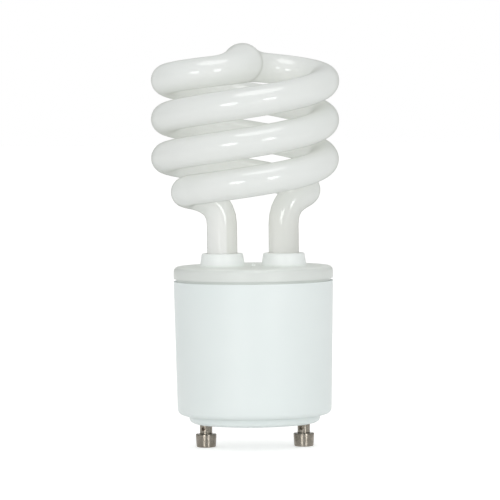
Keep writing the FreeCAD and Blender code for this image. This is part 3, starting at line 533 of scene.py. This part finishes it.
CAD_FINISHES: dict[str, Finish] = {
    "housing": HOUSING_PBT,
    "lid": LID_PBT,
    "contact_pin_left": NICKEL_PLATE,
    "contact_pin_right": NICKEL_PLATE,
    "tube_cement_left": CAPPING_CEMENT,
    "tube_cement_right": CAPPING_CEMENT,
    "circuit_board": PHENOLIC_BOARD,
    "wire_wrap_posts": TINNED_WIRE,
    "lamp_leads_left": TINNED_WIRE,
    "lamp_leads_right": TINNED_WIRE,
    "bulk_capacitor": CAN_SLEEVE,
    "choke_core_upper": SINTERED_FERRITE,
    "choke_core_lower": SINTERED_FERRITE,
    "choke_bobbin": BLACK_NYLON,
    "choke_winding": ENAMELLED_COPPER,
    "drive_transformer_core": COATED_FERRITE,
    "drive_transformer_windings": YELLOW_PVC,
    "transistor_high_side": MOULDED_EPOXY,
    "transistor_low_side": MOULDED_EPOXY,
    "resonant_capacitor": RED_DIP,
    "dc_block_capacitor": BLUE_CASE,
    "filter_choke_core": SINTERED_FERRITE,
    "filter_choke_winding": ENAMELLED_COPPER,
    "fuse_resistor": GREEN_LACQUER,
    "rectifier_diodes": MOULDED_EPOXY,
    "signal_resistors": SAND_LACQUER,
    "trigger_diac": AMBER_GLASS,
    "mains_wire_left": WHITE_PVC,
    "mains_wire_right": BLACK_PVC,
}


@dataclass
class CadPieces:
    """The solids that keep their CAD shape: each gets smooth shading and its own finish."""

    crease_deg: float = 32.0
    merge_mm: float = 0.0005
    made: dict[str, bpy.types.Material] = field(default_factory=dict)

    def dress(self) -> None:
        """Give every carried-over node its finish."""
        for name, finish in CAD_FINISHES.items():
            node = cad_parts[name]
            if finish.name not in self.made:
                self.made[finish.name] = finish.build()
            node.data.materials.clear()
            node.data.materials.append(self.made[finish.name])
            self.smooth(node)
            LOG.info("%s: %s", name, finish.name)

    def smooth(self, node: bpy.types.Object) -> None:
        """Shade a node smoothly, with its real edges kept crisp.

        Args:
            node: The CAD node's object, whose loose triangles are joined by a modifier.
        """
        node.data.shade_smooth()
        weld = node.modifiers.new("join_triangles", "WELD")
        weld.merge_threshold = self.merge_mm * MM
        split = node.modifiers.new("crisp_edges", "EDGE_SPLIT")
        split.split_angle = math.radians(self.crease_deg)


@dataclass
class GlassTube:
    """The glass: two legs, two elbows, a right-handed double helix and the bridge with its cold spot.

    Every size of the glass is the CAD tube's own, in millimetres or degrees.
    """

    tube_dia: float = 7.4
    # legs
    leg_spacing: float = 15.08
    leg_foot_z: float = 32.28
    leg_top: float = 48.43
    # elbows
    elbow_handle: float = 11.9
    elbow_reach: float = 7.6
    elbow_drop: float = 3.44
    elbow_swell: float = 1.4
    elbow_lift: float = 0.6
    elbow_tail: float = 5.34
    # helix
    join_angle: float = 50.0
    coil_start_z: float = 56.82
    coil_start_radius: float = 14.42
    coil_radius: float = 19.3
    coil_grow_angle: float = 141.75
    coil_pitch: float = 19.14
    coil_ease_angle: float = 30.65
    coil_turn: float = 540.0
    coil_shift: float = -1.82
    coil_lean: float = 0.63
    coil_tilt: float = 2.5
    # bridge and cold spot
    tip_shift: float = -0.66
    tip_rise: float = 3.23
    cold_spot_swell: float = 1.2
    cold_spot_lift: float = 0.92
    cold_spot_half_length: float = 11.6
    # how finely the skin is drawn
    leg_steps: int = 4
    elbow_steps: int = 28
    step_mm: float = 1.1
    section_resolution: int = 18
    merge_mm: float = 0.001
    crease_deg: float = 50.0

    def helix(self, degrees: float) -> Vector:
        """Find a point of the helix, which starts narrow and level.

        Args:
            degrees: How far past the lowest outermost point it lies.

        Returns:
            The point in the coil's own frame, in millimetres.
        """
        grown = math.sin(min(degrees / self.coil_grow_angle, 1) * math.pi / 2)
        radius = self.coil_start_radius + (self.coil_radius - self.coil_start_radius) * grown
        eased = degrees - self.coil_ease_angle * (1 - math.exp(-degrees / self.coil_ease_angle))
        angle = math.pi + math.radians(degrees)
        height = self.coil_start_z + self.coil_pitch / 360 * eased
        return Vector((radius * math.cos(angle), radius * math.sin(angle), height))

    def bridge(self, share: float, tip_x: float) -> Vector:
        """Find a point of the half circle in plan that leads from the helix in to the tip.

        Args:
            share: From 0 at the helix's end to 1 at the tip.
            tip_x: Where the tip lies.

        Returns:
            The point in the coil's own frame, in millimetres.
        """
        radius = (self.coil_radius - tip_x) / 2
        angle = math.pi * share
        slope = math.pi * radius * self.coil_pitch / (2 * math.pi * self.coil_radius)
        leave = share**3 - 2 * share**2 + share
        arrive = 3 * share**2 - 2 * share**3
        height = self.helix(self.coil_turn).z + leave * slope + arrive * self.tip_rise
        middle = (self.coil_radius + tip_x) / 2
        return Vector((middle + radius * math.cos(angle), radius * math.sin(angle), height))

    def seat(self, point: Vector, side: int) -> Vector:
        """Set a point of the coil in the lamp: turned half round for the right arm, leaned and shifted.

        Args:
            point: A point in the coil's own frame.
            side: -1 for the left arm and 1 for the right.

        Returns:
            The point in the lamp's frame, in millimetres.
        """
        foot = Vector((0, 0, self.coil_start_z))
        turned = Vector((-side * point.x, -side * point.y, point.z)) - foot
        turned = Matrix.Rotation(math.radians(self.coil_lean), 3, "Y") @ turned
        turned = Matrix.Rotation(math.radians(self.coil_tilt), 3, "X") @ turned
        return turned + foot + Vector((self.coil_shift, 0, 0))

    def elbow(self, side: int) -> list[Vector]:
        """List the points of an elbow, from the leg's top onto the helix.

        Args:
            side: -1 for the left arm and 1 for the right.

        Returns:
            Points in the lamp's frame, in millimetres.
        """
        top = Vector((side * self.leg_spacing / 2, 0, self.leg_top))
        landing = self.seat(self.helix(self.join_angle), side)
        ahead = self.seat(self.helix(self.join_angle + 0.01), side) - landing
        outermost = Vector(
            (-self.coil_start_radius - self.elbow_reach, 0, self.coil_start_z - self.elbow_drop),
        )
        swollen = self.helix(self.join_angle)
        outward = Vector((swollen.x, swollen.y, 0)).normalized()
        swollen = swollen + outward * self.elbow_swell + Vector((0, 0, self.elbow_lift))
        poles = [
            top,
            top + Vector((0, 0, self.elbow_handle)),
            self.seat(outermost, side),
            self.seat(swollen, side),
            landing - ahead.normalized() * self.elbow_tail,
            landing,
        ]
        degree = len(poles) - 1
        points = []
        for number in range(1, self.elbow_steps + 1):
            t = number / self.elbow_steps
            weights = [math.comb(degree, k) * t**k * (1 - t) ** (degree - k) for k in range(degree + 1)]
            points.append(sum((pole * w for pole, w in zip(poles, weights)), Vector((0, 0, 0))))
        return points

    def arm(self, side: int) -> list[tuple[Vector, float]]:
        """List one arm's stations from the leg's foot to the tip.

        Args:
            side: -1 for the left arm and 1 for the right.

        Returns:
            Each station's point in millimetres and the swelling of the tube there.
        """
        x = side * self.leg_spacing / 2
        leg = self.leg_top - self.leg_foot_z
        stations = []
        for number in range(self.leg_steps + 1):
            stations.append((Vector((x, 0, self.leg_foot_z + leg * number / self.leg_steps)), 0.0))
        stations += [(point, 0.0) for point in self.elbow(side)]
        steps = round(2 * math.pi * self.coil_radius * self.coil_turn / 360 / self.step_mm)
        for number in range(1, steps + 1):
            angle = self.join_angle + (self.coil_turn - self.join_angle) * number / steps
            stations.append((self.seat(self.helix(angle), side), 0.0))
        tip_x = -side * self.tip_shift
        length = math.pi * (self.coil_radius - tip_x) / 2
        # twice as fine, because the tube swells here
        steps = round(length / self.step_mm * 2)
        for number in range(1, steps + 1):
            share = number / steps
            to_tip = (1 - share) * length / self.cold_spot_half_length
            dome = (1 + math.cos(math.pi * min(to_tip, 1))) / 2
            lifted = self.seat(self.bridge(share, tip_x), side) + Vector((0, 0, self.cold_spot_lift * dome))
            stations.append((lifted, self.cold_spot_swell * dome))
        return stations

    def build(self) -> bpy.types.Object:
        """Sweep the tube along its stations and dress it.

        Returns:
            The glass, which stands for the CAD tube.
        """
        stations = self.arm(-1) + self.arm(1)[-2::-1]
        curve = bpy.data.curves.new("glass_centreline", "CURVE")
        curve.dimensions = "3D"
        curve.bevel_depth = self.tube_dia / 2 * MM
        curve.bevel_resolution = self.section_resolution
        curve.use_fill_caps = True
        spline = curve.splines.new("POLY")
        spline.points.add(len(stations) - 1)
        for point, (place, swell) in zip(spline.points, stations):
            point.co = (*(place * MM), 1.0)
            point.radius = 1 + swell / (self.tube_dia / 2)
        sweep = bpy.data.objects.new("glass_sweep", curve)
        bpy.context.scene.collection.objects.link(sweep)
        bpy.context.view_layer.update()
        mesh = bpy.data.meshes.new_from_object(sweep.evaluated_get(bpy.context.evaluated_depsgraph_get()))
        bpy.data.objects.remove(sweep)
        skin = bmesh.new()
        skin.from_mesh(mesh)
        bmesh.ops.remove_doubles(skin, verts=skin.verts, dist=self.merge_mm * MM)
        bmesh.ops.recalc_face_normals(skin, faces=skin.faces)
        skin.to_mesh(mesh)
        skin.free()
        mesh.shade_smooth()
        mesh.set_sharp_from_angle(angle=math.radians(self.crease_deg))
        mesh.materials.clear()
        mesh.materials.append(PHOSPHOR_GLASS.build())
        glass = bpy.data.objects.new("coated_glass_tube", mesh)
        bpy.context.scene.collection.objects.link(glass)
        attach(glass, "root")
        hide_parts("discharge_tube")
        LOG.info("coated_glass_tube: %d faces", len(mesh.polygons))
        return glass


@dataclass(frozen=True)
class Softbox:
    """One softbox that faces the lamp.

    A softbox is two lamps here: an even light that falls on the lamp and doesn't show in its gloss, and
    just before it the bright face that the gloss mirrors, which sheds no light on the lamp.

    Attributes:
        name: What the softbox does.
        azimuth: Degrees round from the camera's side, positive to the right.
        elevation: Degrees above the horizon.
        width: Width in metres.
        height: Height in metres.
        level: How bright its face is, where 1 is white.
        mirrored: Whether it is the face that the gloss mirrors.
    """

    name: str
    azimuth: float
    elevation: float
    width: float
    height: float
    level: float
    mirrored: bool


@dataclass
class Studio:
    """The plain pale floor, the soft light and the camera at the photograph's viewing angle."""

    camera_back_m: float = 0.8
    camera_height_m: float = 0.07788
    aim_height_m: float = 0.04227
    lens_mm: float = 235.2
    sensor_mm: float = 36.0
    clip_m: tuple[float, float] = (0.05, 20.0)
    roll_deg: float = 0.6
    # the lamp's axis stands 3.05 px right of the middle of the 500 px wide photograph
    axis_offset: float = -3.05 / 500
    floor_half_m: float = 6.0
    floor_shade: str = "#F4F4F3"
    floor_glow: float = 0.5
    softboxes: tuple[Softbox, ...] = (
        Softbox("light_left", -21, 5, width=0.28, height=0.42, level=5.2, mirrored=False),
        Softbox("light_right", 28, 5, width=0.28, height=0.42, level=5.2, mirrored=False),
        Softbox("light_top", 15, 70, width=0.3, height=0.3, level=5.0, mirrored=False),
        Softbox("face_left", -21, 7.5, width=0.46, height=0.34, level=7.5, mirrored=True),
        Softbox("face_right", 28, 7.5, width=0.34, height=0.34, level=7.5, mirrored=True),
        Softbox("face_top", 12, 70, width=0.85, height=0.8, level=3.8, mirrored=True),
    )
    softbox_aim_m: float = 0.05
    softbox_away_m: float = 1.2
    face_ahead_m: float = 0.05
    room_level: float = 0.86
    # the light in the room by height: full up to 27 degrees above the horizon, dimmer overhead
    room_light: Stops = ((-1.0, "#FFFFFF"), (0.45, "#FFFFFF"), (1.0, "#B8B8B8"))
    # what the gloss mirrors, from before the lamp to behind it: a grey room, darker wings, a white sweep
    room_mirrored: Stops = (
        (-1.0, "#C4C7C8"), (-0.1, "#BDBDBA"), (0.5, "#B4B4B0"), (0.96, "#B6B6B2"), (1.0, "#F0F0F0"),
    )

    def camera(self) -> None:
        """Make the camera with the photograph's place, lens and slight roll."""
        data = bpy.data.cameras.new("product_camera")
        data.lens = self.lens_mm
        data.sensor_width = self.sensor_mm
        data.shift_x = self.axis_offset
        data.clip_start, data.clip_end = self.clip_m
        camera = bpy.data.objects.new("product_camera", data)
        bpy.context.scene.collection.objects.link(camera)
        eye = Vector((0, -self.camera_back_m, self.camera_height_m))
        sight = Vector((0, 0, self.aim_height_m)) - eye
        turn = sight.to_track_quat("-Z", "Y") @ Quaternion((0, 0, 1), -math.radians(self.roll_deg))
        camera.matrix_world = Matrix.LocRotScale(eye, turn, None)
        bpy.context.scene.camera = camera

    def seen(self, tree: bpy.types.NodeTree) -> bpy.types.NodeSocket:
        """Tell rays that show the background from rays that light the object.

        Args:
            tree: The tree that needs it.

        Returns:
            A socket that is 1 for camera, glossy and transmission rays, and 0 for diffused ones.
        """
        path = add_node(tree, "ShaderNodeLightPath").outputs
        shown = path["Is Camera Ray"]
        for kind in ("Is Glossy Ray", "Is Transmission Ray"):
            either = {0: shown, 1: path[kind]}
            shown = add_node(tree, "ShaderNodeMath", either, operation="MAXIMUM").outputs[0]
        sharp = {0: shown, 1: path["Is Diffuse Ray"]}
        return add_node(tree, "ShaderNodeMath", sharp, operation="SUBTRACT", use_clamp=True).outputs[0]

    def room(self) -> None:
        """Light the room softly, show it white to the camera and as a studio to the gloss."""
        world = bpy.data.worlds.new("pale_room")
        bpy.context.scene.world = world
        world.use_nodes = True
        tree = world.node_tree
        light = tree.nodes["Background"]
        way = add_node(tree, "ShaderNodeTexCoord").outputs["Generated"]
        tree.links.new(shade_along(tree, way, "Z", self.room_light, 1.0), light.inputs["Color"])
        light.inputs["Strength"].default_value = self.room_level
        shown = add_node(tree, "ShaderNodeBackground", Color=linear("#FFFFFF"), Strength=1.0).outputs[0]
        dimmed = shade_along(tree, way, "Y", self.room_mirrored, 1.0)
        mirrored = add_node(tree, "ShaderNodeBackground", {"Color": dimmed}).outputs[0]
        plain = add_node(
            tree, "ShaderNodeMixShader", {0: self.seen(tree), 1: light.outputs[0], 2: shown},
        ).outputs[0]
        glossy = add_node(tree, "ShaderNodeLightPath").outputs["Is Glossy Ray"]
        whole = add_node(tree, "ShaderNodeMixShader", {0: glossy, 1: plain, 2: mirrored})
        tree.links.new(whole.outputs[0], tree.nodes["World Output"].inputs["Surface"])

    def floor(self) -> None:
        """Lay a wide pale floor under the pins, which keeps the lamp's soft shadow."""
        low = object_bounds()[0].z
        shape = bmesh.new()
        bmesh.ops.create_grid(shape, x_segments=1, y_segments=1, size=self.floor_half_m)
        bmesh.ops.translate(shape, verts=shape.verts, vec=(0, 0, low))
        mesh = bpy.data.meshes.new("paper_floor")
        shape.to_mesh(mesh)
        shape.free()
        material = bpy.data.materials.new("white_paper_floor")
        material.use_nodes = True
        tree = material.node_tree
        paper = tree.nodes["Principled BSDF"]
        paper.inputs["Base Color"].default_value = linear(self.floor_shade)
        paper.inputs["Roughness"].default_value = 0.9
        paper.inputs["Specular IOR Level"].default_value = 0.1
        # to the camera and in mirrors the paper glows a little, so that it joins the white background
        glow = add_node(tree, "ShaderNodeEmission", Color=linear("#FFFFFF"), Strength=self.floor_glow)
        lifted = add_node(tree, "ShaderNodeAddShader", {0: paper.outputs[0], 1: glow.outputs[0]})
        mix = add_node(
            tree, "ShaderNodeMixShader", {0: self.seen(tree), 1: paper.outputs[0], 2: lifted.outputs[0]},
        )
        tree.links.new(mix.outputs[0], tree.nodes["Material Output"].inputs["Surface"])
        mesh.materials.append(material)
        floor = bpy.data.objects.new("paper_floor", mesh)
        bpy.context.scene.collection.objects.link(floor)
        floor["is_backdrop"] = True

    def hang(self, box: Softbox) -> None:
        """Hang one softbox.

        Args:
            box: The softbox.
        """
        data = bpy.data.lights.new(box.name, "AREA")
        data.shape = "ELLIPSE" if box.mirrored else "RECTANGLE"
        data.size, data.size_y = box.width, box.height
        data.energy = box.level * math.pi * box.width * box.height * (math.pi / 4 if box.mirrored else 1)
        lamp = bpy.data.objects.new(box.name, data)
        bpy.context.scene.collection.objects.link(lamp)
        lamp.visible_glossy = box.mirrored
        lamp.visible_diffuse = not box.mirrored
        a, e = math.radians(box.azimuth), math.radians(box.elevation)
        way = Vector((math.sin(a) * math.cos(e), -math.cos(a) * math.cos(e), math.sin(e)))
        away = self.softbox_away_m - (self.face_ahead_m if box.mirrored else 0)
        place = Vector((0, 0, self.softbox_aim_m)) + way * away
        lamp.matrix_world = Matrix.LocRotScale(place, way.to_track_quat("Z", "Y"), None)

    def build(self) -> None:
        """Set up floor, room, lamps and camera."""
        self.floor()
        self.room()
        for box in self.softboxes:
            self.hang(box)
        self.camera()
        bpy.context.scene.view_settings.view_transform = "Standard"


def main() -> None:
    """Dress the CAD solids, build the glass and set up the studio."""
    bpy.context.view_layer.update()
    builders: list[Callable[[], object]] = [CadPieces().dress, GlassTube().build, Studio().build]
    for build in builders:
        build()


if __name__ == "__main__":
    logging.basicConfig(level=logging.INFO, format="%(name)s %(message)s")
    main()
